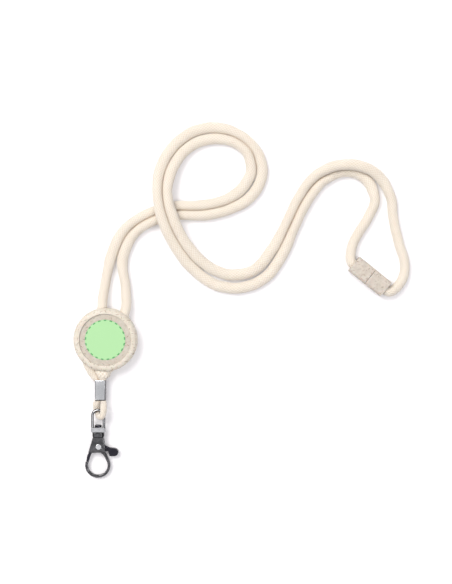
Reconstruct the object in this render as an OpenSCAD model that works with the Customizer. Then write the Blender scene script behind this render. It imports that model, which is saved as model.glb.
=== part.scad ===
// Lanyard badge holder: one braided cord folded double, a round print disc that it runs through,
// a crimped ferrule, a swivel lobster hook and a breakaway safety clasp, all lying on a table.
// Origin at the centre of the disc's back face. +Z comes out of the print face,
// +Y runs from the disc towards the neck of the lanyard and -Y towards the hook.

/* [Cord] */
// Diameter of the free braided cord
cord_d = 4.8; // [4.4:0.1:4.8]
// Diameter of the cord where it is pulled tight round the swivel eye
loop_d = 3; // [2.6:0.1:3]

/* [Disc] */
// Outer diameter of the disc
disc_d = 31.7; // [31.5:0.1:33]
// Height of the rim above the back face
disc_h = 9; // [8.6:0.1:9.4]
// Height of the seam between the two covers, which is also the middle of the cord channels
seam_h = 4.4; // [4.3:0.1:4.5]
// Diameter of the recessed front face
recess_d = 25.8; // [25:0.1:26.4]
// Depth of the front face below the rim
recess_depth = 0.7; // [0.5:0.1:1.6]
// Diameter of the round print label
label_d = 20; // [18:0.5:22]
// Thickness of the print label
label_t = 0.3; // [0.2:0.05:0.4]
// Turn of the disc about its own axis, clockwise
disc_turn = 15; // [14:0.5:16]

/* [Ferrule] */
// Width of the ferrule
ferrule_w = 5.4; // [5.2:0.1:5.8]
// Depth of the ferrule, up from the table
ferrule_t = 5.8; // [5.6:0.1:6]
// Length of the ferrule along the cord
ferrule_l = 10.2; // [9:0.1:10.2]
// Wall of the ferrule
ferrule_wall = 0.55; // [0.4:0.05:0.6]

/* [Hook] */
// Wire diameter of the swivel eye
eye_wire_d = 1.35; // [1.2:0.05:1.4]
// Width of the swivel eye over its wire
eye_w = 7.1; // [7:0.05:7.2]
// Tilt of the hook from the eye down to the table
hook_tilt = 5; // [4.5:0.1:5]
// Width of the hook's opening
opening_w = 9.9; // [9.4:0.1:9.9]
// Metal width of the hook's ring
ring_w = 1.35; // [1.2:0.05:1.4]
// Thickness of the hook's ring
ring_t = 2.6; // [2.2:0.1:2.6]
// Thickness of the hook's body over both cheeks
body_t = 3.8; // [3.6:0.1:4]
// Diameter of the trigger's pin
pin_d = 1.6; // [1.4:0.1:1.8]

/* [Clasp] */
// Length of the closed clasp
clasp_l = 20.4; // [20:0.1:20.8]
// Width of the clasp
clasp_w = 8.8; // [8.4:0.1:9.2]
// Height of the clasp
clasp_h = 7.6; // [7.4:0.1:7.6]
// Direction of the clasp's axis, clockwise from +X
clasp_turn = 39; // [38.5:0.5:39.5]

/* [Hidden] */
$fn = 64;

// Colours of the materials
straw = [0.85, 0.80, 0.74];
cotton = [0.95, 0.91, 0.84];
label_green = [0.76, 0.94, 0.70];
nickel = [0.76, 0.77, 0.79];
dark_nickel = [0.30, 0.29, 0.33];
clearance = 0.05;
cut = 1;

// Disc: rim rounding, cord channels and the pegs that join the covers
disc_r = disc_d / 2;
rim_r = 2;
face_h = disc_h - recess_depth;
channel_d = cord_d + 0.1;
left_channel = -6;
right_channel = 5.7;
peg_d = 2.4;
peg_l = 2.4;
pegs = [[0, 8], [0, -8], [12.2, 0], [-12.2, 0]];
label_seat = label_t / 2;

// Ferrule: its top edge and its middle
ferrule_x = -2.7;
ferrule_y = -20.2;
ferrule_z = 0.2 + ferrule_t / 2;
ferrule_corner = 0.8;

// Hook frame: origin in the middle of the eye's top bar, the hook runs along -Y from there
eye_pos = [-3.8, -35.1, 4.4];
eye_r = (eye_w - eye_wire_d) / 2;
eye_leg_l = 6;
plate_top = -8.7;
plate_l = 2.5;
plate_t = 2.6;
post_d = 2;
post_head_d = 3.4;
post_head_t = 1.1;
post_end = -14;
collar_top = plate_top - plate_l - 0.1;
collar_l = 2.2;
collar_d = 4.6;
collar_w = 6;
shoulder_w = 4.6;
hip_y = -21.4;
hip_w = 8.9;
hip_x = -0.55;
opening_pos = [-0.35, -27.85];
crown_up = 2.9;
crown_drop = 1.25;
slot_t = 1.6;
slot_top = -14.6;
gate_t = slot_t - 2 * clearance * 2;
pivot = [0.2, -18.3];
hub_r = 2.1;
pin_head_d = 2.8;
pin_head_t = 0.4;
gate_reach = 9.75;
gate_gap = 0.2;
tab_t = 2.4;
tab_end_r = 2;
leaf_t = 0.25;

// Clasp frame: origin in the middle of the clasp, the plug slides out along +X
clasp_pos = [131.75, 31.5];
clasp_edge = 1.2;
seam_gap = 0.15;
mouth_d = cord_d + 0.1;
mouth_l = 3.2;
mouth_flare = 0.4;
tongue_l = 5.4;
tongue_w = 4.9;
tongue_t = 2.8;
tongue_slit = 0.9;
bump_r = 0.55;
bump_out = 0.05;
cavity_l = tongue_l + 0.6;
cavity_gap = 0.12;

// Route of the left strand: disc, table, over the crossing, neck, right end of the clasp
left_route = [
    [-1.9, 16, 4.4], [-1.6, 20, 3.7], [0, 30, 2.5], [3, 43, 2.5], [9.2, 55, 2.5], [20.5, 62.8, 2.5],
    [34, 66.7, 2.5], [47, 67.1, 2.5], [59, 69.6, 2.5], [67, 74.6, 2.5], [72.5, 84, 2.5], [70, 94, 2.5],
    [61, 99.6, 2.5], [49, 99.7, 2.5], [39.5, 94.4, 3.2], [32.8, 84, 5.2], [30.9, 72.5, 7.5],
    [34, 60, 7.7], [40.5, 48, 5.6], [50, 38, 3.4], [61.5, 33, 2.5], [73.5, 35, 2.5], [83, 45, 2.5],
    [90, 58, 2.5], [96, 70.5, 2.6], [103.5, 80.8, 3.8], [114, 86.4, 6.3], [126, 86.7, 6.6],
    [136, 81.8, 4.6], [142.3, 71.5, 2.8], [143.8, 60, 2.5], [146.4, 48.5, 2.5], [149.4, 38, 2.5],
    [148.6, 31.2, 2.7], [145.2, 26, 3.3], [141.2, 23.9, 3.8], [138.1, 26.4, 3.8]];
// Point of the left route where the short end that moves with the plug begins
left_split = 32;

// Route of the right strand: disc, table, over the crossing, neck, left end of the clasp
right_route = [
    [9.4, 13, 4.4], [10.2, 17, 3.9], [9.7, 27, 2.5], [8.2, 39.5, 2.5], [13.4, 52, 2.5],
    [23.5, 59.2, 2.5], [36, 62.1, 2.5], [49, 62.1, 2.5], [61, 64.8, 2.5], [72, 71, 2.5], [78, 82, 2.5],
    [75.9, 93.5, 2.5], [67.5, 102.5, 2.5], [56, 106.4, 2.5], [44, 104.6, 2.6], [33.5, 96.8, 3.4],
    [27.1, 84.5, 5.4], [26, 72, 7.6], [28.7, 59, 7.7], [35, 46, 5.4], [43.5, 35.3, 3.2], [55, 27.3, 2.5],
    [68, 25.9, 2.5], [80, 31.2, 2.5], [88.5, 43, 2.5], [94, 55.3, 2.5], [100, 67.8, 2.5],
    [108.5, 79, 2.5], [119.5, 84, 2.5], [129.5, 80.8, 2.5], [134.5, 70, 2.5], [130.5, 60, 2.5],
    [124.4, 50, 2.5], [122.3, 43.2, 3], [122.6, 38.9, 3.8], [126.1, 36, 3.8]];

// Held strands: through the disc, down to the ferrule and through it. Each row ends with the
// cord's half width and half height there, because the ferrule squeezes it
free_r = cord_d / 2;
held_left = [
    [-1.9, 16, 4.4, free_r, free_r], [-9.3, -11.6, 4.4, free_r, free_r], [-8.4, -14.6, 4.1, 2.4, 2.2],
    [-6.9, -16.9, 3.7, 2.2, 2.2], [-5, -19.4, 3.2, 1.7, 2.2], [-3.8, -21.2, 3.1, 1, 2.1],
    [-3.8, -30, 3.1, 1, 2.1]];
held_right = [
    [9.4, 13, 4.4, free_r, free_r], [2.5, -12.7, 4.4, free_r, free_r], [-0.9, -15.5, 4.6, 3.5, 2.3],
    [-1.5, -17.1, 4.4, 3.3, 2.3], [-1.6, -19, 3.6, 2, 2.2], [-1.6, -21.2, 3.1, 1, 2.1],
    [-1.6, -30, 3.1, 1, 2.1]];
loop_r = loop_d / 2;
loop_route = [
    [-3.8, -30, 3.1, 1, 2.1], [-3.8, -30.4, 3.1, 1, 2.1], [-4.4, -32.3, 2.5, 2, loop_r],
    [-4.4, -35.2, 1.8, 1.8, 1.4], [-4.1, -37.1, 2.4, loop_r, loop_r],
    [-3.5, -38.2, 3.9, loop_r, loop_r], [-2.8, -38.3, 5.6, loop_r, loop_r],
    [-1.6, -37.7, 6.9, loop_r, loop_r], [-1, -36, 7.3, loop_r, loop_r], [-1, -34.2, 6.7, loop_r, loop_r],
    [-1.1, -32.4, 4.9, loop_r, loop_r], [-1.6, -30.4, 3.1, 1, 2.1], [-1.6, -30, 3.1, 1, 2.1]];

function unit(v) = v / norm(v);
function place(row) = [row[0], row[1], row[2]];
function heading(route, i) = unit(place(route[min(i + 1, len(route) - 1)]) - place(route[max(i - 1, 0)]));
function half_u(row) = len(row) > 3 ? row[3] : free_r;
function half_v(row) = len(row) > 3 ? row[4] : free_r;
function ring(row, along, guide, sides) =
    let (u = unit(guide - (guide * along) * along), v = cross(along, u))
    [for (k = [0 : sides - 1])
        place(row) + half_u(row) * cos(360 * k / sides) * u + half_v(row) * sin(360 * k / sides) * v];

// A cord swept along the points first to last of a route. guide is a direction that the route
// never runs along: the first half size of a row is measured towards it
module tube(route, first, last, guide, sides) {
    rings = [for (i = [first : last]) ring(route[i], heading(route, i), guide, sides)];
    count = len(rings);
    walls = [for (i = [0 : count - 2], k = [0 : sides - 1])
        let (next = (k + 1) % sides, here = i * sides, there = here + sides)
        each [[here + next, here + k, there + k], [here + next, there + k, there + next]]];
    caps = [[for (k = [0 : sides - 1]) k], [for (k = [sides - 1 : -1 : 0]) (count - 1) * sides + k]];
    polyhedron(points = [for (r = rings) each r], faces = concat(walls, caps));
}

module in_disc_frame() {
    rotate([0, 0, -disc_turn])
        children();
}

module in_hook_frame() {
    translate(eye_pos)
        rotate([hook_tilt, 0, 0])
            children();
}

module in_clasp_frame() {
    translate([clasp_pos[0], clasp_pos[1], clasp_h / 2])
        rotate([0, 0, -clasp_turn])
            children();
}

// A cylinder along Y, from y down by l
module rod_down(y, d, l) {
    translate([0, y, 0])
        rotate([90, 0, 0])
            cylinder(d = d, h = l);
}

// A plate in the hook frame's XY plane, t thick about Z = 0
module plate(t) {
    linear_extrude(height = t, center = true)
        children();
}

// A rectangle with round corners, made of true arcs
module round_rect(w, h, r) {
    square([w - 2 * r, h], center = true);
    square([w, h - 2 * r], center = true);
    for (x = [-1, 1], y = [-1, 1])
        translate([x * (w / 2 - r), y * (h / 2 - r)])
            circle(r = r);
}

// Cord channels and peg holes that both covers share
module channels() {
    in_disc_frame()
        for (x = [left_channel, right_channel])
            translate([x, 0, seam_h])
                rotate([90, 0, 0])
                    cylinder(d = channel_d, h = disc_d + cut, center = true);
}

module peg_set(d, l) {
    in_disc_frame()
        for (p = pegs)
            translate([p[0], p[1], seam_h - l])
                cylinder(d = d, h = l + cut);
}

// Half outline of the disc from its axis out, between two heights
module disc_outline(low, high) {
    intersection() {
        union() {
            square([disc_r - rim_r, disc_h]);
            translate([0, rim_r])
                square([disc_r, disc_h - 2 * rim_r]);
            for (z = [rim_r, disc_h - rim_r])
                translate([disc_r - rim_r, z])
                    circle(r = rim_r);
        }
        translate([0, low])
            square([disc_r, high - low]);
    }
}

module back_cover() {
    color(straw)
        difference() {
            rotate_extrude()
                disc_outline(0, seam_h);
            channels();
            peg_set(peg_d + 2 * clearance, peg_l + clearance);
        }
}

module front_cover() {
    color(straw) {
        difference() {
            rotate_extrude()
                disc_outline(seam_h, disc_h);
            channels();
            translate([0, 0, face_h])
                cylinder(d = recess_d, h = recess_depth + cut);
            translate([0, 0, face_h - label_seat])
                cylinder(d = label_d + 2 * clearance, h = disc_h);
        }
        peg_set(peg_d, peg_l);
    }
}

module print_label() {
    color(label_green)
        translate([0, 0, face_h - label_seat])
            cylinder(d = label_d, h = label_t);
}

module ferrule() {
    color(nickel)
        translate([ferrule_x, ferrule_y, ferrule_z])
            rotate([90, 0, 0])
                linear_extrude(height = ferrule_l)
                    difference() {
                        round_rect(ferrule_w, ferrule_t, ferrule_corner);
                        round_rect(ferrule_w - 2 * ferrule_wall, ferrule_t - 2 * ferrule_wall,
                                   ferrule_corner - ferrule_wall);
                    }
}

module cord_left() {
    color(cotton)
        tube(left_route, 0, left_split, [0, 0, 1], 10);
}

module cord_clasp_end() {
    color(cotton)
        tube(left_route, left_split, len(left_route) - 1, [0, 0, 1], 10);
}

module cord_right() {
    color(cotton)
        tube(right_route, 0, len(right_route) - 1, [0, 0, 1], 10);
}

module cord_held_left() {
    color(cotton)
        tube(held_left, 0, len(held_left) - 1, [1, 0, 0], 10);
}

module cord_held_right() {
    color(cotton)
        tube(held_right, 0, len(held_right) - 1, [1, 0, 0], 10);
}

module cord_loop() {
    color(cotton)
        tube(loop_route, 0, len(loop_route) - 1, [1, 0, 0], 10);
}

// D-shaped eye: a half round of wire, two legs and a flat plate that the post turns in
module swivel_eye() {
    color(nickel)
        in_hook_frame() {
            translate([0, -eye_r, 0])
                rotate_extrude(angle = 180)
                    translate([eye_r, 0])
                        circle(d = eye_wire_d);
            for (side = [-1, 1])
                translate([side * eye_r, 0, 0])
                    rod_down(-eye_r, eye_wire_d, eye_leg_l);
            difference() {
                translate([0, plate_top - plate_l / 2, 0])
                    plate(plate_t)
                        round_rect(eye_w, plate_l, eye_wire_d / 2);
                rod_down(plate_top + cut, post_d + 2 * clearance, plate_l + 2 * cut);
            }
        }
}

module swivel_post() {
    color(dark_nickel)
        in_hook_frame() {
            rod_down(plate_top + clearance + post_head_t, post_head_d, post_head_t);
            rod_down(plate_top + clearance + post_head_t, post_d, plate_top + clearance + post_head_t - post_end);
        }
}

// Egg outline: a big round below and a smaller one above, joined by their tangents
module egg(r, top_r, up) {
    lean = asin((r - top_r) / up);
    edge = [cos(lean), sin(lean)];
    circle(r = r);
    translate([0, up])
        circle(r = top_r);
    polygon([[-r * edge[0], r * edge[1]], [r * edge[0], r * edge[1]],
             [top_r * edge[0], up + top_r * edge[1]], [-top_r * edge[0], up + top_r * edge[1]]]);
}

module opening() {
    translate(opening_pos)
        egg(opening_w / 2, opening_w / 2 - crown_drop, crown_up);
}

module ring_outline() {
    translate(opening_pos)
        egg(opening_w / 2 + ring_w, opening_w / 2 + ring_w - crown_drop, crown_up);
}

module cheek_outline() {
    polygon([[-shoulder_w / 2, collar_top - collar_l / 2], [shoulder_w / 2, collar_top - collar_l / 2],
             [hip_x + hip_w / 2, hip_y], [hip_x - hip_w / 2, hip_y]]);
}

// The window in the left side of the ring that the gate closes. Its lower end is an arc about the
// pivot, so the end of the gate swings past it
module gate_window() {
    intersection() {
        polygon([[-hip_w, hip_y + ring_w / 2], [opening_pos[0], hip_y + ring_w / 2],
                 [opening_pos[0], opening_pos[1]], [-hip_w, opening_pos[1]]]);
        translate(pivot)
            circle(r = gate_reach + gate_gap);
    }
}

// The gate arm hangs from the hub and ends in an arc about the pivot
module gate_arm() {
    intersection() {
        polygon([[pivot[0] - 1.6, pivot[1] + 1.2], [pivot[0], pivot[1] - hub_r],
                 [-3.1, -21.4], [-3.95, -23.2], [-5.15, -27],
                 [-6.35, -27], [-5.6, -23], [-4.4, -20.6]]);
        translate(pivot)
            circle(r = gate_reach);
    }
}

module hook_body() {
    color(nickel)
        in_hook_frame()
            difference() {
                union() {
                    plate(body_t)
                        cheek_outline();
                    plate(ring_t)
                        difference() {
                            ring_outline();
                            gate_window();
                        }
                    intersection() {
                        rod_down(collar_top, collar_w, collar_l);
                        translate([0, collar_top - collar_l / 2, 0])
                            cube([collar_w, collar_l + cut, collar_d], center = true);
                    }
                }
                plate(body_t + cut)
                    opening();
                translate([0, (slot_top + opening_pos[1] + opening_w / 2) / 2, 0])
                    cube([hip_w + ring_w, slot_top - opening_pos[1] - opening_w / 2, slot_t], center = true);
                rod_down(collar_top + cut, post_d, collar_top + cut - post_end);
                translate(pivot)
                    cylinder(d = pin_d, h = body_t + cut, center = true);
            }
}

// Gate arm on the left, hub on the pin and thumb tab on the right, in one piece
module trigger() {
    color(dark_nickel)
        in_hook_frame()
            difference() {
                union() {
                    plate(gate_t) {
                        translate(pivot)
                            circle(r = hub_r);
                        polygon([[pivot[0], pivot[1] + hub_r], [6, -19.1], [6, -20.9],
                                 [pivot[0], pivot[1] - hub_r]]);
                        gate_arm();
                    }
                    plate(tab_t) {
                        polygon([[4.6, -18.9], [8, -19.2], [8, -23.2], [5.6, -23.2], [5, -21]]);
                        translate([8, -21.2])
                            circle(r = tab_end_r);
                    }
                }
                translate(pivot)
                    cylinder(d = pin_d + 2 * clearance, h = body_t, center = true);
            }
}

module trigger_pin() {
    color(nickel)
        in_hook_frame()
            translate(pivot) {
                cylinder(d = pin_d, h = body_t, center = true);
                for (side = [-1, 1])
                    translate([0, 0, side * (body_t + pin_head_t) / 2])
                        cylinder(d = pin_head_d, h = pin_head_t, center = true);
            }
}

// Bent leaf spring in the slot above the hub: it presses the tab side of the trigger down
module trigger_spring() {
    color(nickel)
        in_hook_frame()
            plate(gate_t - 2 * clearance)
                polygon([[-1.4, slot_top - clearance], [1.4, slot_top - clearance], [3.2, -17],
                         [3.2 - leaf_t, -17], [1.4 - leaf_t, slot_top - clearance - leaf_t],
                         [-1.4, slot_top - clearance - leaf_t]]);
}

// Clasp shell between two places on its axis, with its long edges rounded
module clasp_shell(from, to) {
    translate([from, 0, 0])
        rotate([90, 0, 90])
            linear_extrude(height = to - from)
                round_rect(clasp_w, clasp_h, clasp_edge);
}

// Mouth that the cord is fixed in, at the end of the clasp on one side
module cord_mouth(side) {
    translate([side * (clasp_l / 2 - mouth_l / 2), 0, 0])
        rotate([0, 90, 0])
            cylinder(d = mouth_d, h = mouth_l, center = true);
    translate([side * clasp_l / 2, 0, 0])
        rotate([0, 90, 0])
            cylinder(d = mouth_d + 2 * mouth_flare, h = 2 * mouth_flare, center = true);
}

// Tongue outline with a detent bump on each side, grown by gap all round
module tongue_outline(l, gap) {
    translate([-l, -tongue_w / 2 - gap])
        square([l + seam_gap, tongue_w + 2 * gap]);
    for (side = [-1, 1])
        translate([-tongue_l * 0.7, side * (tongue_w / 2 + gap + bump_out - bump_r)])
            circle(r = bump_r);
}

module clasp_socket() {
    color(straw)
        in_clasp_frame()
            difference() {
                clasp_shell(-clasp_l / 2, 0);
                linear_extrude(height = tongue_t + 2 * cavity_gap, center = true)
                    tongue_outline(cavity_l, cavity_gap);
                cord_mouth(-1);
            }
}

module clasp_plug() {
    color(straw)
        in_clasp_frame()
            difference() {
                union() {
                    clasp_shell(seam_gap, clasp_l / 2);
                    linear_extrude(height = tongue_t, center = true)
                        difference() {
                            tongue_outline(tongue_l, 0);
                            translate([-tongue_l - cut, -tongue_slit / 2])
                                square([tongue_l, tongue_slit]);
                        }
                }
                cord_mouth(1);
            }
}

front_cover();
back_cover();
print_label();
ferrule();
cord_left();
cord_right();
cord_clasp_end();
cord_held_left();
cord_held_right();
cord_loop();
swivel_eye();
swivel_post();
hook_body();
trigger();
trigger_pin();
trigger_spring();
clasp_socket();
clasp_plug();
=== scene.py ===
"""A lanyard badge holder lying on a white table: braided cotton cord, wheat-straw plastic and nickel."""
import math

import bmesh
import bpy
import numpy as np
from mathutils import Matrix, Vector
from mathutils.kdtree import KDTree


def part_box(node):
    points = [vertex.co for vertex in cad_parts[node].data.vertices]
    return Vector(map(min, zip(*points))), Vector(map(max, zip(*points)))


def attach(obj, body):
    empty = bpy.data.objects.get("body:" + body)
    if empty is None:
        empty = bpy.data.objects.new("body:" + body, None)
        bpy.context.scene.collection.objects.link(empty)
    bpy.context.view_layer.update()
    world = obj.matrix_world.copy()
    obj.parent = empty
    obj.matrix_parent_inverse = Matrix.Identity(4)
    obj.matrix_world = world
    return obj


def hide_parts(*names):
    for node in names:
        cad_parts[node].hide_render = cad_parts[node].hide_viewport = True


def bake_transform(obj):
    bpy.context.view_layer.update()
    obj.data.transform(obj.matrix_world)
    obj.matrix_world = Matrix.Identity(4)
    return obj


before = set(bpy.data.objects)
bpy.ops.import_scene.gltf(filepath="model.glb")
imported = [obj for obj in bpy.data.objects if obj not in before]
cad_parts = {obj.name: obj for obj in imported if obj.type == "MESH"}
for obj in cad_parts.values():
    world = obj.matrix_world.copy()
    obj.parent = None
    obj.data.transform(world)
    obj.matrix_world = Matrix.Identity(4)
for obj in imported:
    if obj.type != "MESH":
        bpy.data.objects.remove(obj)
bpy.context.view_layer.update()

MM = 0.001
random = np.random.default_rng(7)

# ---------------------------------------------------------------------------------------------
# Camera: straight above the middle of the layout
# ---------------------------------------------------------------------------------------------
VIEW_CENTRE = Vector((0.060, 0.02375, 0.003))
VIEW_LONG_SIDE = 0.292
LENS_MM = 85
SENSOR_MM = 36

camera_data = bpy.data.cameras.new("camera")
camera_data.lens = LENS_MM
camera_data.sensor_width = SENSOR_MM
camera_data.clip_start = 0.01
camera = bpy.data.objects.new("camera", camera_data)
camera.location = VIEW_CENTRE + Vector((0, 0, VIEW_LONG_SIDE * LENS_MM / SENSOR_MM))
bpy.context.scene.collection.objects.link(camera)
bpy.context.scene.camera = camera

# ---------------------------------------------------------------------------------------------
# Shader helpers
# ---------------------------------------------------------------------------------------------


class Shader:
    """A node material with short calls for the nodes used here."""

    def __init__(self, name, **values):
        self.material = bpy.data.materials.new(name)
        self.material.use_nodes = True
        self.tree = self.material.node_tree
        self.surface = next(n for n in self.tree.nodes if n.type == "BSDF_PRINCIPLED")
        for socket, value in values.items():
            self.surface.inputs[socket.replace("_", " ")].default_value = value

    def plug(self, socket, value):
        if isinstance(value, bpy.types.NodeSocket):
            self.tree.links.new(value, socket)
        else:
            socket.default_value = value

    def add(self, kind, settings=None, **inputs):
        node = self.tree.nodes.new(kind)
        for key, value in (settings or {}).items():
            setattr(node, key, value)
        for key, value in inputs.items():
            self.plug(node.inputs[key.replace("_", " ")], value)
        return node

    def math(self, operation, a, b=0.0, c=0.0):
        node = self.add("ShaderNodeMath", {"operation": operation})
        for socket, value in zip(node.inputs, (a, b, c)):
            self.plug(socket, value)
        return node.outputs[0]

    def value(self, name):
        return self.add("ShaderNodeAttribute", {"attribute_name": name}).outputs["Fac"]

    def place(self, scale=(1000, 1000, 1000), turn=(0, 0, 0)):
        """The point on the piece at rest, in millimetres when scale is 1000."""
        source = self.add("ShaderNodeTexCoord").outputs["Object"]
        return self.add("ShaderNodeMapping", Vector=source, Scale=scale, Rotation=turn).outputs["Vector"]

    def noise(self, vector, scale, detail=3.0, roughness=0.5):
        return self.add("ShaderNodeTexNoise", Vector=vector, Scale=scale, Detail=detail,
                        Roughness=roughness).outputs["Fac"]

    def ramp(self, factor, *stops):
        node = self.add("ShaderNodeValToRGB", Fac=factor)
        elements = node.color_ramp.elements
        while len(elements) < len(stops):
            elements.new(0.5)
        for element, (position, colour) in zip(elements, stops):
            element.position = position
            element.color = (*colour, 1) if len(colour) == 3 else (colour[0],) * 3 + (1,)
        return node.outputs["Color"]

    def mix(self, factor, a, b, mode="MIX"):
        node = self.add("ShaderNodeMix", {"data_type": "RGBA", "blend_type": mode})
        for socket, value in zip((node.inputs[0], node.inputs[6], node.inputs[7]), (factor, a, b)):
            if isinstance(value, tuple) and len(value) == 3:
                value = (*value, 1)
            self.plug(socket, value)
        return node.outputs[2]

    def colour(self, value):
        self.plug(self.surface.inputs["Base Color"], value)

    def roughness(self, value):
        self.plug(self.surface.inputs["Roughness"], value)

    def flecks(self, cell_mm, long_mm, wide_mm, share):
        """1 inside thin flakes that each lie their own way, in a share of the cells of a 3-D scatter."""
        point = self.place((1000 / cell_mm,) * 3)
        cells = self.add("ShaderNodeTexVoronoi", Vector=point, Scale=1.0, Randomness=1.0)
        chance = self.add("ShaderNodeSeparateColor", Color=cells.outputs["Color"]).outputs
        away = self.add("ShaderNodeVectorMath", {"operation": "SUBTRACT"})
        self.plug(away.inputs[0], point)
        self.plug(away.inputs[1], cells.outputs["Position"])
        turned = self.add("ShaderNodeVectorRotate", {"rotation_type": "EULER_XYZ"},
                          Vector=away.outputs[0])
        spin = self.add("ShaderNodeCombineXYZ", X=0.0, Y=self.math("MULTIPLY", chance[1], 1.2),
                        Z=self.math("MULTIPLY", chance[0], 2 * math.pi))
        self.plug(turned.inputs["Rotation"], spin.outputs[0])
        sized = self.add("ShaderNodeVectorMath", {"operation": "MULTIPLY"})
        self.plug(sized.inputs[0], turned.outputs[0])
        sized.inputs[1].default_value = (cell_mm / long_mm * 2, cell_mm / wide_mm * 2, cell_mm / long_mm)
        reach = self.add("ShaderNodeVectorMath", {"operation": "LENGTH"})
        self.plug(reach.inputs[0], sized.outputs[0])
        inside = self.ramp(reach.outputs["Value"], (0.75, (1.0,)), (1.0, (0.0,)))
        return self.math("MULTIPLY", inside, self.math("LESS_THAN", chance[2], share))

    def bump(self, height, distance, strength=1.0):
        node = self.add("ShaderNodeBump", Height=height, Distance=distance, Strength=strength)
        self.tree.links.new(node.outputs["Normal"], self.surface.inputs["Normal"])


# ---------------------------------------------------------------------------------------------
# Materials
# ---------------------------------------------------------------------------------------------
BRAID_YARNS = 12
BRAID_PITCH = 21.0


def braid_height(turn, along):
    """Height of a two-way braid, 0 in its holes and 1 on its yarns. turn is in turns, along in mm."""
    a = BRAID_YARNS * (turn + along / BRAID_PITCH)
    b = BRAID_YARNS * (turn - along / BRAID_PITCH)
    over_a = (np.floor(a) + np.floor(b)) % 2 < 1
    wide = np.abs(np.sin(math.pi * np.where(over_a, a, b)))
    long = np.abs(np.sin(math.pi * np.where(over_a, b, a)))
    return wide ** 0.8 * (0.35 + 0.65 * long ** 0.7)


# Painted shade where two cords touch: a point attribute on each cord multiplies its colour by this warm
# tone
CONTACT_SHADE_TONE = (0.80, 0.71, 0.62)
SPECK_BROWN = (0.52, 0.38, 0.24)


def cotton():
    """Unbleached cotton in a two-way braid that follows each cord's own length and turn."""
    shader = Shader("cotton_braid", Roughness=0.92, Sheen_Weight=0.8, Sheen_Roughness=0.4,
                    Specular_IOR_Level=0.2, Subsurface_Weight=0.06, Subsurface_Scale=0.0008,
                    Subsurface_Radius=(1.0, 0.75, 0.5))
    around = shader.math("ARCTAN2", shader.value("around_y"), shader.value("around_x"))
    turn = shader.math("DIVIDE", around, 2 * math.pi)
    along = shader.math("DIVIDE", shader.value("along"), BRAID_PITCH)
    a = shader.math("MULTIPLY", shader.math("ADD", turn, along), BRAID_YARNS)
    b = shader.math("MULTIPLY", shader.math("SUBTRACT", turn, along), BRAID_YARNS)
    cells = shader.math("ADD", shader.math("FLOOR", a), shader.math("FLOOR", b))
    over_b = shader.math("FLOORED_MODULO", cells, 2.0)
    over_a = shader.math("SUBTRACT", 1.0, over_b)

    def pick(first, second):
        return shader.math("ADD", shader.math("MULTIPLY", first, over_a),
                           shader.math("MULTIPLY", second, over_b))

    across, down = pick(a, b), pick(b, a)
    wide = shader.math("ABSOLUTE", shader.math("SINE", shader.math("MULTIPLY", across, math.pi)))
    long = shader.math("ABSOLUTE", shader.math("SINE", shader.math("MULTIPLY", down, math.pi)))
    height = shader.math("MULTIPLY", shader.math("POWER", wide, 0.7),
                         shader.math("MULTIPLY_ADD", shader.math("POWER", long, 0.6), 0.6, 0.4))
    strands = shader.math("ABSOLUTE", shader.math("SINE", shader.math("MULTIPLY", across, 4 * math.pi)))
    fibres = shader.noise(shader.place(), 7.0, 4.0, 0.7)
    patches = shader.noise(shader.place(), 0.22, 3.0, 0.6)
    fluff = shader.math("ADD", height, shader.math("ADD", shader.math("MULTIPLY", strands, 0.10),
                                                   shader.math("MULTIPLY", fibres, 0.30)))
    yarn = shader.mix(patches, (0.79, 0.72, 0.61), (0.86, 0.80, 0.70))
    # Painted shade: the holes between the yarns are darkened in the colour, most where the braid is
    # lowest
    shade = shader.ramp(height, (0.0, (0.72, 0.64, 0.56)), (0.35, (0.93, 0.91, 0.88)),
                        (0.7, (1.0, 1.0, 1.0)))
    yarn = shader.mix(1.0, yarn, shade, "MULTIPLY")
    # Painted shade between cords that touch one another
    yarn = shader.mix(shader.value("painted_contact_shade"), yarn, CONTACT_SHADE_TONE, "MULTIPLY")
    specks = shader.noise(shader.place((1400, 1400, 700)), 1.0, 2.0, 0.7)
    speck = shader.ramp(specks, (0.66, (0.0,)), (0.72, (0.6,)))
    shader.colour(shader.mix(speck, yarn, SPECK_BROWN))
    shader.bump(fluff, 0.00022, 0.8)
    return shader.material


# Cell size, length, width, share of cells with a fleck, darkness
FLECKS = ((2.6, 1.5, 0.26, 0.60, 0.80), (1.7, 0.9, 0.22, 0.55, 0.65), (1.0, 0.45, 0.20, 0.55, 0.40))


FLECK_BROWN = (0.22, 0.13, 0.07)
# Painted shade of the disc's recessed face
FACE_SHADE = (0.80, 0.785, 0.785)


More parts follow.
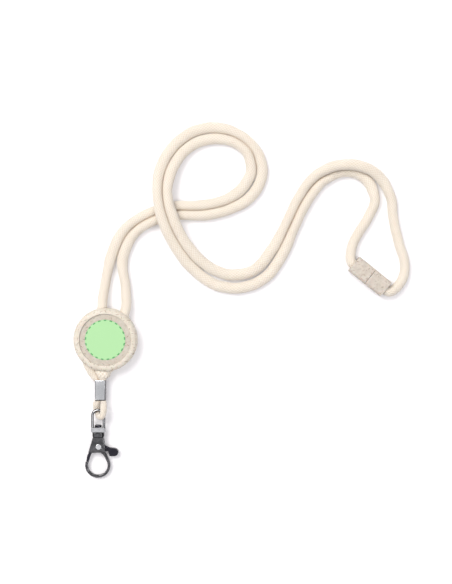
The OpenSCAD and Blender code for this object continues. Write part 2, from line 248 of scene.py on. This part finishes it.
def straw_plastic(name, pale, deep, busy=1.0, face_radius=0.0):
    """Plastic filled with ground wheat straw: mottled, with small brown flecks that lie every way.
    Inside face_radius, in millimetres from the disc's middle, the colour is darkened: painted shade of
    the disc's recessed face."""
    shader = Shader(name, Roughness=0.5, Subsurface_Weight=0.08, Subsurface_Scale=0.001,
                    Specular_IOR_Level=0.4)
    clouds = shader.noise(shader.place(), 0.5, 4.0, 0.65)
    colour = shader.mix(shader.ramp(clouds, (0.35, (0.0,)), (0.65, (1.0,))), deep, pale)
    relief = clouds
    for cell_mm, long_mm, wide_mm, share, strength in FLECKS:
        fleck = shader.flecks(cell_mm, long_mm, wide_mm, share * busy)
        colour = shader.mix(shader.math("MULTIPLY", fleck, strength), colour, FLECK_BROWN)
        relief = shader.math("SUBTRACT", relief, shader.math("MULTIPLY", fleck, 0.2))
    # Painted shade: the recessed face inside this radius is darkened in the colour
    if face_radius:
        away = shader.add("ShaderNodeVectorMath", {"operation": "LENGTH"},
                          Vector=shader.place((1000, 1000, 0)))
        inside = shader.math("LESS_THAN", away.outputs["Value"], face_radius)
        colour = shader.mix(inside, colour, FACE_SHADE, "MULTIPLY")
    shader.colour(colour)
    grain = shader.noise(shader.place(), 9.0, 2.0, 0.6)
    shader.roughness(shader.math("MULTIPLY_ADD", grain, 0.2, 0.40))
    shader.bump(shader.math("MULTIPLY_ADD", grain, 0.3, relief), 0.00006, 0.5)
    return shader.material


# The dark tone that painted shade on a piece's edges brings into its colour
PAINTED_EDGE_DARK = (0.05, 0.05, 0.055)
RUBBED_ROUGHNESS = 0.16
DENT_WEIGHT = 12
POLISH_DEPTH = 0.00004


def metal(name, colour, dull, rough, waves=0.15, sides=None):
    """Plated metal: faint rubbing marks, and slow waves where a small casting was polished by hand.
    With sides, faces that lean away from the top and bottom are painted darker, a painted reflection of
    a dark surround.
    sides is that dark tone, how far a face leans to the top where it starts to lighten, and where it has
    the plain plate colour."""
    shader = Shader(name, Metallic=1.0)
    cloud = shader.noise(shader.place(), 0.9, 3.0, 0.6)
    rubbed = shader.noise(shader.place((3000, 500, 3000)), 2.0, 4.0, 0.75)
    plate = shader.mix(cloud, dull, colour)
    # Painted reflection: faces that lean to the side get the dark tone, standing in for a dark surround
    # reflected in them
    if sides:
        normal = shader.add("ShaderNodeTexCoord").outputs["Normal"]
        facing = shader.add("ShaderNodeSeparateXYZ", Vector=normal).outputs[2]
        tone, lean_start, lean_plain_plate = sides
        plain_plate_share = shader.ramp(shader.math("ABSOLUTE", facing), (lean_start, (0.0,)), (lean_plain_plate, (1.0,)))
        plate = shader.mix(plain_plate_share, tone, plate)
    # Painted shade: where a piece carries a point attribute for it, its colour is darkened towards the
    # dark edge tone
    shader.colour(shader.mix(shader.value("painted_edge_shade"), plate, PAINTED_EDGE_DARK))
    shader.roughness(shader.math("MULTIPLY_ADD", rubbed, RUBBED_ROUGHNESS, rough))
    dents = shader.noise(shader.place(), 0.30, 1.0, 0.4)
    fine = shader.math("ADD", cloud, shader.math("MULTIPLY", rubbed, 0.15))
    shader.bump(shader.math("MULTIPLY_ADD", dents, DENT_WEIGHT * waves, fine), POLISH_DEPTH, 0.5)
    return shader.material


LABEL_DASHES = 21
LABEL_RADIUS = (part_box("print_label")[1].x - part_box("print_label")[0].x) / 2 / MM


def print_label():
    """Light green print with a ring of dark green dashes at its edge."""
    shader = Shader("print_label", Roughness=0.42, Specular_IOR_Level=0.35, Coat_Weight=0.1)
    point = shader.add("ShaderNodeSeparateXYZ", Vector=shader.place()).outputs
    radius = shader.math("SQRT", shader.math("ADD", shader.math("MULTIPLY", point[0], point[0]),
                                             shader.math("MULTIPLY", point[1], point[1])))
    angle = shader.math("ARCTAN2", point[1], point[0])
    wave = shader.math("SINE", shader.math("MULTIPLY", angle, LABEL_DASHES))
    dash = shader.ramp(wave, (0.05, (0.0,)), (0.25, (1.0,)))
    ring = shader.ramp(shader.math("SUBTRACT", LABEL_RADIUS, radius), (0.50, (1.0,)), (0.75, (0.0,)))
    ink = shader.noise(shader.place(), 4.0, 3.0, 0.6)
    green = shader.mix(ink, (0.365, 0.64, 0.315), (0.39, 0.67, 0.34))
    shader.colour(shader.mix(shader.math("MULTIPLY", dash, ring), green, (0.10, 0.36, 0.13)))
    shader.bump(ink, 0.00003, 0.3)
    return shader.material


STRAW_PALE, STRAW_DEEP = (0.70, 0.655, 0.56), (0.60, 0.545, 0.45)
COTTON = cotton()
DISC_STRAW = straw_plastic("straw_disc", STRAW_PALE, STRAW_DEEP)
FRONT_STRAW = straw_plastic("straw_front", STRAW_PALE, STRAW_DEEP, face_radius=12.95)
CLASP_STRAW = straw_plastic("straw_clasp", (0.60, 0.55, 0.475), (0.50, 0.445, 0.38), 1.4)
NICKEL = metal("nickel", (0.95, 0.965, 0.965), (0.83, 0.845, 0.85), 0.07, 0.5)
# The eye, hook, post and trigger metals have their sides painted dark as a painted reflection
EYE_NICKEL = metal("eye_nickel", (0.84, 0.85, 0.85), (0.66, 0.67, 0.68), 0.06, waves=0.8,
                   sides=((0.04, 0.041, 0.043), 0.94, 0.997))
HOOK_NICKEL = metal("hook_nickel", (0.19, 0.19, 0.195), (0.08, 0.08, 0.085), 0.04, waves=2.2,
                    sides=((0.012, 0.012, 0.014), 0.80, 0.985))
DARK_NICKEL = metal("dark_nickel", (0.055, 0.053, 0.065), (0.035, 0.034, 0.044), 0.15, waves=0.5,
                    sides=((0.02, 0.02, 0.024), 0.7, 0.97))
LABEL = print_label()

# ---------------------------------------------------------------------------------------------
# Cords
# ---------------------------------------------------------------------------------------------
CORD_D = 5.0
FREE = CORD_D / 2  # half width where nothing squeezes the cord
RELIEF = 0.17  # how far the yarns stand over the holes between them
YARN_LEVEL = 0.8  # the share of that height that lies on the cord's nominal surface
RING_STEP = 0.32
CORD_SIDES = 44

# The routes of the CAD cords, run on into the disc. They are in millimetres here.
LEFT_ROUTE = [
    (-4.2, 7.3, 4.4), (-1.9, 16, 4.4), (-1.6, 20, 3.7), (0, 30, 2.5), (3, 43, 2.5), (9.2, 55, 2.5),
    (20.5, 62.8, 2.5), (34, 66.7, 2.5), (47, 67.1, 2.5), (59, 69.6, 2.5), (67, 74.6, 2.5),
    (72.5, 84, 2.5), (70, 94, 2.5), (61, 99.6, 2.5), (49, 99.7, 2.5), (39.5, 94.4, 3.2),
    (32.8, 84, 5.2), (30.9, 72.5, 7.5), (34, 60, 7.7), (40.2, 47.8, 5.6), (49.7, 37.6, 3.4),
    (61.4, 32.5, 2.5), (73.8, 34.7, 2.5), (83, 45, 2.5), (90, 58, 2.5), (96, 70.5, 2.6),
    (103.5, 80.8, 3.8), (114, 86.4, 6.3), (126, 86.7, 6.6), (136, 81.8, 4.6), (142.3, 71.5, 2.8),
    (143.8, 60, 2.5), (146.4, 48.5, 2.5), (149.4, 38, 2.5), (148.6, 31.2, 2.7), (145.2, 26, 3.3),
    (141.2, 23.9, 3.8), (138.1, 26.4, 3.8)]
RIGHT_ROUTE = [
    (7.1, 4.3, 4.4), (9.4, 13, 4.4), (10.2, 17, 3.9), (9.7, 27, 2.5), (8.2, 39.5, 2.5),
    (13.4, 52, 2.5), (23.5, 59.2, 2.5), (36, 62.1, 2.5), (49, 62.1, 2.5), (61, 64.8, 2.5),
    (72, 71, 2.5), (78, 82, 2.5), (75.9, 93.5, 2.5), (67.3, 102.2, 2.5), (56, 105.9, 2.5),
    (44.2, 104.2, 2.6), (33.8, 96.6, 3.4), (27.1, 84.5, 5.4), (26, 72, 7.6), (28.7, 59, 7.7),
    (35, 46, 5.4), (43.5, 35.3, 3.2), (55, 27.3, 2.5), (68, 25.9, 2.5), (80, 31.2, 2.5),
    (88.5, 43, 2.5), (94, 55.3, 2.5), (100, 67.8, 2.5), (108.5, 79, 2.5), (119.5, 84, 2.5),
    (129.5, 80.8, 2.5), (134.5, 70, 2.5), (130.5, 60, 2.5), (124.4, 50, 2.5), (122.3, 43.2, 3),
    (122.6, 38.9, 3.8), (126.1, 36, 3.8)]
# Rows of the held cord end with its half width and half height, where something squeezes it
HELD_LEFT = [
    (-4.5, 6.3, 4.4, FREE, FREE), (-9.0, -11.4, 4.4, 2.4, 2.4), (-7.8, -14.7, 3.9, 2.3, 2.2),
    (-6.5, -17.0, 3.5, 2.3, 2.2), (-4.9, -19.3, 3.2, 1.9, 2.2), (-3.9, -21.2, 3.1, 1.15, 2.2),
    (-3.9, -30, 3.1, 1.15, 2.2)]
HELD_RIGHT = [
    (6.8, 3.3, 4.4, FREE, FREE), (2.5, -12.7, 4.4, FREE, FREE), (-1.1, -15.2, 5.0, 4.2, 2.4),
    (-1.2, -17.1, 4.9, 3.8, 2.4), (-1.5, -18.9, 4.1, 2.5, 2.3), (-1.5, -21.2, 3.1, 1.15, 2.2),
    (-1.5, -30, 3.1, 1.15, 2.2)]
LOOP_R = 1.6
LOOP_ROUTE = [
    (-3.9, -29.6, 3.1, 1.15, 2.2), (-3.9, -30.3, 3.1, 1.3, 2.2), (-4.5, -32.0, 2.7, 2.1, 1.8),
    (-4.5, -34.9, 1.9, 1.9, 1.45), (-4.1, -37.1, 2.4, LOOP_R, LOOP_R),
    (-3.5, -38.3, 3.9, LOOP_R, LOOP_R), (-2.8, -38.5, 5.6, LOOP_R, LOOP_R),
    (-1.6, -37.9, 6.9, LOOP_R, LOOP_R), (-1, -36.2, 7.3, LOOP_R, LOOP_R),
    (-0.9, -34.2, 6.7, LOOP_R, LOOP_R), (-1.0, -32.2, 4.9, 1.6, 1.8), (-1.45, -30.3, 3.2, 1.3, 2.2),
    (-1.5, -29.6, 3.1, 1.15, 2.2)]


def smooth_route(rows, step):
    """A centripetal curve through the rows, as rows an even step apart."""
    rows = np.array([(*row, FREE, FREE) if len(row) == 3 else row for row in rows], float)
    padded = np.vstack([2 * rows[0] - rows[1], rows, 2 * rows[-1] - rows[-2]])
    fine = []
    for p0, p1, p2, p3 in zip(padded, padded[1:], padded[2:], padded[3:]):
        t0 = 0.0
        t1 = t0 + math.sqrt(np.linalg.norm((p1 - p0)[:3]))
        t2 = t1 + math.sqrt(np.linalg.norm((p2 - p1)[:3]))
        t3 = t2 + math.sqrt(np.linalg.norm((p3 - p2)[:3]))
        t = np.linspace(t1, t2, 48, endpoint=False)[:, None]
        a1 = (t1 - t) / (t1 - t0) * p0 + (t - t0) / (t1 - t0) * p1
        a2 = (t2 - t) / (t2 - t1) * p1 + (t - t1) / (t2 - t1) * p2
        a3 = (t3 - t) / (t3 - t2) * p2 + (t - t2) / (t3 - t2) * p3
        b1 = (t2 - t) / (t2 - t0) * a1 + (t - t0) / (t2 - t0) * a2
        b2 = (t3 - t) / (t3 - t1) * a2 + (t - t1) / (t3 - t1) * a3
        fine.append((t2 - t) / (t2 - t1) * b1 + (t - t1) / (t2 - t1) * b2)
    fine = np.vstack(fine + [padded[-2]])
    run = np.concatenate([[0], np.cumsum(np.linalg.norm(np.diff(fine[:, :3], axis=0), axis=1))])
    even = np.linspace(0, run[-1], max(2, round(run[-1] / step) + 1))
    return np.stack([np.interp(even, run, fine[:, k]) for k in range(fine.shape[1])], axis=1), even


def frames(points, guide):
    """Unit tangents of a line of points, and two directions across each: the first leans to guide."""
    tangent = np.gradient(points, axis=0)
    tangent /= np.linalg.norm(tangent, axis=1)[:, None]
    first = guide - (tangent @ guide)[:, None] * tangent
    first /= np.linalg.norm(first, axis=1)[:, None]
    return tangent, first, np.cross(tangent, first)


def grid_mesh(name, rings, material, body=None, smooth=True):
    """A closed skin over rings of points, an array of rings by sides by 3 in metres."""
    count, sides = rings.shape[:2]
    start = np.arange(count - 1)[:, None] * sides
    side = np.arange(sides)[None, :]
    after = (side + 1) % sides
    walls = np.stack([start + side, start + after, start + sides + after, start + sides + side], axis=-1)
    faces = walls.reshape(-1, 4).tolist()
    faces += [list(range(sides - 1, -1, -1)), list(range((count - 1) * sides, count * sides))]
    mesh = bpy.data.meshes.new(name)
    mesh.from_pydata(rings.reshape(-1, 3).tolist(), [], faces)
    mesh.materials.append(material)
    if smooth:
        mesh.polygons.foreach_set("use_smooth", [True] * (len(faces) - 2) + [False, False])
    piece = bpy.data.objects.new(name, mesh)
    bpy.context.scene.collection.objects.link(piece)
    if body:
        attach(piece, body)
    return piece


# Length along the cord, lobes round it, height
THICKNESS_WAVES = ((23.0, 0, 0.05), (9.5, 1, 0.05), (6.1, 2, 0.035), (3.7, 3, 0.025))


def unevenness(turn, along):
    """Slow waves in the cord's thickness, different all round, as a hand-led braid has."""
    waves = np.zeros((len(along), len(turn)))
    for length, lobes, size in THICKNESS_WAVES:
        start_angle, start_along = random.uniform(0, 2 * math.pi, 2)
        waves += size * (np.cos(lobes * 2 * math.pi * turn + start_angle)[None, :]
                         * np.sin(2 * math.pi * along / length + start_along)[:, None])
    return waves


def braid(name, rows, guide):
    """A braided cord along a route, with its centreline and its length in metres."""
    rows, along = smooth_route(rows, RING_STEP)
    centre, half_u, half_v = rows[:, :3], rows[:, 3], rows[:, 4]
    _, first, second = frames(centre, np.array(guide, float))
    turn = np.arange(CORD_SIDES) / CORD_SIDES
    cosine, sine = np.cos(2 * math.pi * turn), np.sin(2 * math.pi * turn)
    relief = RELIEF * (braid_height(turn[None, :], along[:, None]) - YARN_LEVEL)
    relief = relief + unevenness(turn, along)
    across_u = ((half_u[:, None] + relief) * cosine)[..., None] * first[:, None, :]
    across_v = ((half_v[:, None] + relief) * sine)[..., None] * second[:, None, :]
    rings = centre[:, None, :] + across_u + across_v
    piece = grid_mesh(name, rings * MM, COTTON)
    for key, value in (("along", np.repeat(along, CORD_SIDES)),
                       ("around_x", np.tile(cosine, len(along))),
                       ("around_y", np.tile(sine, len(along)))):
        layer = piece.data.attributes.new(key, "FLOAT", "POINT")
        layer.data.foreach_set("value", value.astype(np.float32))
    return piece, centre * MM, along[-1] * MM


# How far past the other cord's side the painted shade between cords reaches, in millimetres, and the
# power that shapes its fall
CONTACT_SHADE_REACH = 1.3
CONTACT_SHADE_FALL = 1.5


def painted_contact_shade(piece, other_line):
    """Paints shade into a cord's colour, through a point attribute, where it comes close to the other
    cord's side.
    """
    tree = KDTree(len(other_line))
    for k, point in enumerate(other_line):
        tree.insert(point, k)
    tree.balance()
    layer = piece.data.attributes.new("painted_contact_shade", "FLOAT", "POINT")
    for vertex, value in zip(piece.data.vertices, layer.data):
        gap = tree.find(vertex.co)[2] / MM - FREE
        value.value = min(max(1 - gap / CONTACT_SHADE_REACH, 0.0), 1.0) ** CONTACT_SHADE_FALL


UP = (0, 0, 1)
SIDEWAYS = (1, 0, 0)
SPREAD_REACH = 6.9  # strands closer than this, centre to centre, swell until they touch
SPREAD_LEAST = FREE - 0.05
SPREAD_MOST = 2.8
PRESSED = 0.04


def lying_together(route, other):
    """The route with the widths that make it touch the other strand where they lie side by side."""
    rows, _ = smooth_route(route, 1.0)
    beside, _ = smooth_route(other, 0.5)
    apart = np.linalg.norm(rows[:, None, :3] - beside[None, :, :3], axis=2).min(axis=1)
    half = np.where(apart < SPREAD_REACH, np.clip(apart / 2 + PRESSED, SPREAD_LEAST, SPREAD_MOST), FREE)
    kernel = np.hanning(9) / np.hanning(9).sum()
    half = np.convolve(np.pad(half, 4, mode="edge"), kernel, mode="valid")
    rows[:, 4] = half
    rows[:, 3] = FREE ** 2 / half
    rows[:, 2] = np.maximum(rows[:, 2] - (FREE - rows[:, 3]), rows[:, 3])
    return rows


left, left_line, left_length = braid("strand_left", lying_together(LEFT_ROUTE, RIGHT_ROUTE), UP)
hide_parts("cord_left", "cord_clasp_end")
# Only the strand's last 60 mm lies beyond the start of this diagonal
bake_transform(left)
right, right_line, right_length = braid("strand_right", lying_together(RIGHT_ROUTE, LEFT_ROUTE), UP)
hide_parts("cord_right")
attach(right, "lanyard")
# Painted shade where the two strands lie side by side
painted_contact_shade(left, right_line)
painted_contact_shade(right, left_line)

held_left, held_left_line, _ = braid("held_left", HELD_LEFT, SIDEWAYS)
held_right, held_right_line, _ = braid("held_right", HELD_RIGHT, SIDEWAYS)
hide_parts("cord_held_left")
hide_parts("cord_held_right")
# Painted shade where the two held cord ends touch
for held, line in ((held_left, held_right_line), (held_right, held_left_line)):
    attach(held, "lanyard")
    painted_contact_shade(held, line)

loop, _, _ = braid("eye_loop", LOOP_ROUTE, SIDEWAYS)
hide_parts("cord_loop")
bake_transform(loop)

# ---------------------------------------------------------------------------------------------
# Plastic and metal pieces: the CAD solids with rounded edges
# ---------------------------------------------------------------------------------------------


def rounded_outline(half_w, half_h, corner, steps=8):
    """Points round a rectangle with round corners, about its middle."""
    points = []
    for quarter, (x, y) in enumerate(((1, 1), (-1, 1), (-1, -1), (1, -1))):
        for k in range(steps + 1):
            angle = math.pi / 2 * (quarter + k / steps)
            points.append((x * (half_w - corner) + corner * math.cos(angle),
                           y * (half_h - corner) + corner * math.sin(angle)))
    return points


def crimp_ferrule():
    """A nickel tube squeezed round both cord ends: crisp corners, and a turned lip at each mouth."""
    low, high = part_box("ferrule")
    middle_x, middle_z = (low.x + high.x) / 2 / MM, (low.z + high.z) / 2 / MM
    top, bottom = high.y / MM, low.y / MM
    half_w, half_h = (high.x - low.x) / 2 / MM, (high.z - low.z) / 2 / MM
    wall, corner, lip, least_corner = 0.5, 0.6, 0.07, 0.15
    # Distance from the tube's end, and how far out of its flat side
    stations = [(0.0, -0.22), (0.03, -0.08), (0.12, 0.0), (0.35, lip), (0.6, 0.02), (0.75, 0.0)]
    outside = [(top - d, out - lip) for d, out in stations]
    outside += [(bottom + d, out - lip) for d, out in reversed(stations)]
    mouth = [(0.04, -wall), (0.3, -wall - 0.05)]
    inside = [(bottom + d, out) for d, out in mouth] + [(top - d, out) for d, out in reversed(mouth)]
    rings = []
    for y, out in outside + inside:
        outline = rounded_outline(half_w + out, half_h + out, max(corner + out, least_corner))
        rings.append([(middle_x + x, y, middle_z + z) for x, z in outline])
    sides = len(rings[0])
    mesh = bpy.data.meshes.new("ferrule_crimp")
    verts = [Vector(p) * MM for ring in rings for p in ring]
    count = len(rings)
    faces = [(i * sides + k, i * sides + (k + 1) % sides, (i + 1) % count * sides + (k + 1) % sides,
              (i + 1) % count * sides + k) for i in range(count) for k in range(sides)]
    mesh.from_pydata(verts, [], faces)
    mesh.materials.append(NICKEL)
    mesh.polygons.foreach_set("use_smooth", [True] * len(faces))
    piece = bpy.data.objects.new("ferrule_crimp", mesh)
    bpy.context.scene.collection.objects.link(piece)
    edit = bmesh.new()
    edit.from_mesh(mesh)
    bmesh.ops.recalc_face_normals(edit, faces=edit.faces)
    edit.to_mesh(mesh)
    edit.free()
    # Painted shade and painted dark reflection in the colour: dark long edges, the right one darker, and
    # a dark lip at the lower mouth
    edge, edge_fade, edge_right, edge_left = 0.6, 0.25, 1.0, 0.8
    mouth_edge, mouth_fade, mouth_dark = 0.65, 0.3, 0.9
    painted_edge_shade = mesh.attributes.new("painted_edge_shade", "FLOAT", "POINT")
    for k, vert in enumerate(mesh.vertices):
        x, y = vert.co.x / MM - middle_x, vert.co.y / MM
        side = min((abs(x) - (half_w - edge)) / edge_fade, 1.0) * (edge_right if x > 0 else edge_left)
        below = (bottom + mouth_edge - y) / mouth_fade * mouth_dark
        painted_edge_shade.data[k].value = min(max(side, below, 0.0), 1.0)
    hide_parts("ferrule")
    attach(piece, "lanyard")


crimp_ferrule()

HOOK_AT = Vector((-3.8, -35.1, 4.4))
HOOK_TILT = math.radians(5)


def hook_point(x, y, z):
    """A point given in the hook's own frame, in millimetres."""
    return HOOK_AT + Matrix.Rotation(HOOK_TILT, 3, "X") @ Vector((x, y, z))


def leaf_spring():
    """A bent leaf in the hook's slot: one end is held in the body, the other rests on the trigger."""
    half_thick, half_wide, corner, step = 0.13, 0.66, 0.06, 0.15
    bends = [(-1.4, -14.78, 0), (-0.4, -14.78, 0), (0.8, -14.8, 0), (1.5, -15.1, 0), (2.3, -16.0, 0),
             (3.1, -17.0, 0)]
    line, _ = smooth_route([(*hook_point(*bend), half_thick, half_wide) for bend in bends], step)
    _, first, second = frames(line[:, :3], np.array(hook_point(1, 1, 0) - hook_point(0, 0, 0)))
    outline = rounded_outline(half_thick, half_wide, corner, 3)
    rings = np.array([[centre + x * u + y * v for x, y in outline]
                      for centre, u, v in zip(line[:, :3], first, second)])
    leaf = grid_mesh("leaf_spring", rings * MM, NICKEL)
    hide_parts("trigger_spring")
    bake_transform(leaf)


leaf_spring()


def paint(node, material):
    """Gives a CAD node its material."""
    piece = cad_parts[node]
    piece.data.materials.clear()
    piece.data.materials.append(material)
    return piece


WELD_MM = 0.012  # also closes the hairline faces where a flat joins a curve


def moulded(node, material, edge_mm, angle=35, segments=3):
    """Gives a CAD node its material, and breaks its sharp edges as a mould does."""
    piece = paint(node, material)
    weld = piece.modifiers.new("weld", "WELD")
    weld.merge_threshold = WELD_MM * MM
    bevel = piece.modifiers.new("edges", "BEVEL")
    bevel.width = edge_mm * MM
    bevel.segments = segments
    bevel.limit_method = "ANGLE"
    bevel.angle_limit = math.radians(angle)
    bevel.harden_normals = True


def cast(node, material, grain_mm, rounds):
    """Gives a CAD node its material, and melts all its edges as tumbling does to small castings."""
    piece = paint(node, material)
    skin = piece.modifiers.new("skin", "REMESH")
    skin.mode = "VOXEL"
    skin.voxel_size = grain_mm * MM
    skin.use_smooth_shade = True
    tumble = piece.modifiers.new("tumble", "SMOOTH")
    tumble.factor = 0.5
    tumble.iterations = rounds


moulded("front_cover", FRONT_STRAW, 0.12)
moulded("back_cover", DISC_STRAW, 0.12)
moulded("print_label", LABEL, 0.08)
cast("swivel_eye", EYE_NICKEL, 0.08, 6)
cast("swivel_post", DARK_NICKEL, 0.08, 8)
cast("hook_body", HOOK_NICKEL, 0.1, 42)
cast("trigger", DARK_NICKEL, 0.09, 16)
cast("trigger_pin", NICKEL, 0.06, 40)
cast("clasp_socket", CLASP_STRAW, 0.14, 5)
cast("clasp_plug", CLASP_STRAW, 0.14, 5)

# ---------------------------------------------------------------------------------------------
# Table and light
# ---------------------------------------------------------------------------------------------
FLOOR_SIDE = 8.0
FLOOR_GLOW = 0.14


def table_top():
    """A plain white table, with a faint glow of its own so that it stays white under soft light."""
    mesh = bpy.data.meshes.new("table")
    half = FLOOR_SIDE / 2
    corners = [(-half, -half, 0), (half, -half, 0), (half, half, 0), (-half, half, 0)]
    mesh.from_pydata(corners, [], [(0, 1, 2, 3)])
    shader = Shader("table", Roughness=0.8, Specular_IOR_Level=0.1)
    tone = shader.noise(shader.place((1, 1, 1)), 6.0, 2.0, 0.5)
    shader.colour(shader.mix(tone, (0.86, 0.855, 0.865), (0.875, 0.87, 0.88)))
    shader.surface.inputs["Emission Color"].default_value = (1, 0.98, 0.995, 1)
    shader.surface.inputs["Emission Strength"].default_value = FLOOR_GLOW
    mesh.materials.append(shader.material)
    floor = bpy.data.objects.new("table", mesh)
    bpy.context.scene.collection.objects.link(floor)


def softbox(name, place, aim, side, power, colour=(1, 1, 1)):
    """A square lamp that faces a point. side is in metres, power in watts."""
    data = bpy.data.lights.new(name, "AREA")
    data.shape = "SQUARE"
    data.size = side
    data.energy = power
    data.color = colour
    lamp = bpy.data.objects.new(name, data)
    lamp.location = place
    lamp.rotation_euler = (Vector(aim) - Vector(place)).to_track_quat("-Z", "Y").to_euler()
    bpy.context.scene.collection.objects.link(lamp)


def studio_world(overhead, upper, low_window_side, low_far_side):
    """A white studio: dark low walls, darkest far from the window, a bright ring above them, and a
    dimmer middle of the ceiling."""
    world = bpy.data.worlds.new("studio")
    bpy.context.scene.world = world
    world.use_nodes = True
    nodes, links = world.node_tree.nodes, world.node_tree.links
    direction = nodes.new("ShaderNodeTexCoord").outputs["Generated"]

    def zone(value, start, end, below, above):
        share = nodes.new("ShaderNodeMapRange")
        share.inputs["From Min"].default_value = start
        share.inputs["From Max"].default_value = end
        links.new(value, share.inputs["Value"])
        mix = nodes.new("ShaderNodeMix")
        mix.data_type = "RGBA"
        links.new(share.outputs[0], mix.inputs[0])
        for socket, tone in ((mix.inputs[6], below), (mix.inputs[7], above)):
            if isinstance(tone, tuple):
                socket.default_value = (*tone, 1)
            else:
                links.new(tone, socket)
        return mix.outputs[2]

    toward = nodes.new("ShaderNodeVectorMath")
    toward.operation = "DOT_PRODUCT"
    toward.inputs[1].default_value = (-0.71, 0.71, 0.0)
    links.new(direction, toward.inputs[0])
    height = nodes.new("ShaderNodeSeparateXYZ")
    links.new(direction, height.inputs[0])
    walls = zone(toward.outputs["Value"], -0.5, 0.7, low_far_side, low_window_side)
    room = zone(height.outputs["Z"], 0.50, 0.72, walls, upper)
    links.new(zone(height.outputs["Z"], 0.90, 0.985, room, overhead), nodes["Background"].inputs[0])


table_top()
centre = (VIEW_CENTRE.x, VIEW_CENTRE.y, 0)
softbox("key", (-1.02, 1.12, 2.2), centre, 1.6, 56, (1.0, 0.975, 0.95))
softbox("sparkle", (1.4, -0.6, 1.9), centre, 0.7, 9)
studio_world(overhead=(0.50, 0.50, 0.52), upper=(1.00, 0.98, 1.02),
             low_window_side=(0.28, 0.27, 0.29), low_far_side=(0.16, 0.16, 0.17))

view = bpy.context.scene.view_settings
view.view_transform = "Standard"
view.look = "None"
